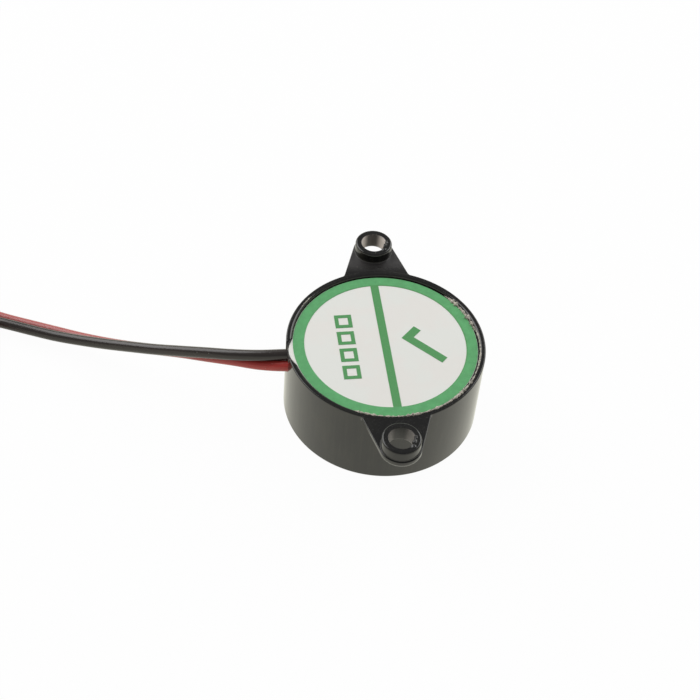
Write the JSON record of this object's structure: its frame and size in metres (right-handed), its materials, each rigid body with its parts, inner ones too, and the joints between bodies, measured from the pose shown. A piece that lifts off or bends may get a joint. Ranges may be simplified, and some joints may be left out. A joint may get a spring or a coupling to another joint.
{
  "type": "piezo buzzer",
  "caption": "Round black piezo buzzer with bossed mounting ears, a sound hole in its face, a green and white label on its potted back, and a red and a black flying lead.",
  "frame": {"origin": "centre of the sound face, which the buzzer rests on", "axes": "+Z from the sound face to the label, Y along the line of the mounting ears, leads leave on the -X side"},
  "size_m": [0.0774, 0.0363, 0.0117],
  "materials": {
    "housing_plastic": "glossy moulded",
    "brass_plate": "rolled",
    "piezo_ceramic": "fired",
    "silver_film": "satin",
    "clear_adhesive": "cured",
    "board_laminate": "matte",
    "copper_foil": "etched",
    "chip_black": "matte",
    "tinned_metal": "tinned",
    "red_insulation": "satin",
    "black_insulation": "satin",
    "blue_insulation": "satin",
    "resin_black": "cured",
    "label_paper": "satin",
    "green_ink": "satin",
    "tie_plastic": "satin"
  },
  "bodies": {
    "root": {"housing": "housing_plastic", "brass_diaphragm": "brass_plate", "ceramic_disc": "piezo_ceramic", "main_electrode": "silver_film", "feedback_electrode": "silver_film", "diaphragm_adhesive": "clear_adhesive", "circuit_board": "board_laminate", "component_pads": "copper_foil", "wire_pads": "copper_foil", "lead_pads": "copper_foil", "transistor_body": "chip_black", "transistor_legs": "tinned_metal", "resistor_chips": "chip_black", "resistor_end_caps": "tinned_metal", "diode_body": "chip_black", "diode_legs": "tinned_metal", "plate_wire": "red_insulation", "main_wire": "black_insulation", "feedback_wire": "blue_insulation", "board_wire_joints": "tinned_metal", "piezo_wire_joints": "tinned_metal", "lead_joints": "tinned_metal", "lead_inner_ends": "tinned_metal", "potting_resin": "resin_black", "label_sheet": "label_paper", "label_print": "green_ink", "black_lead": "black_insulation", "red_lead": "red_insulation", "lead_coil": "black_insulation", "coil_tie": "tie_plastic", "black_lead_tip": "tinned_metal", "red_lead_tip": "tinned_metal"}
  },
  "joints": []
}
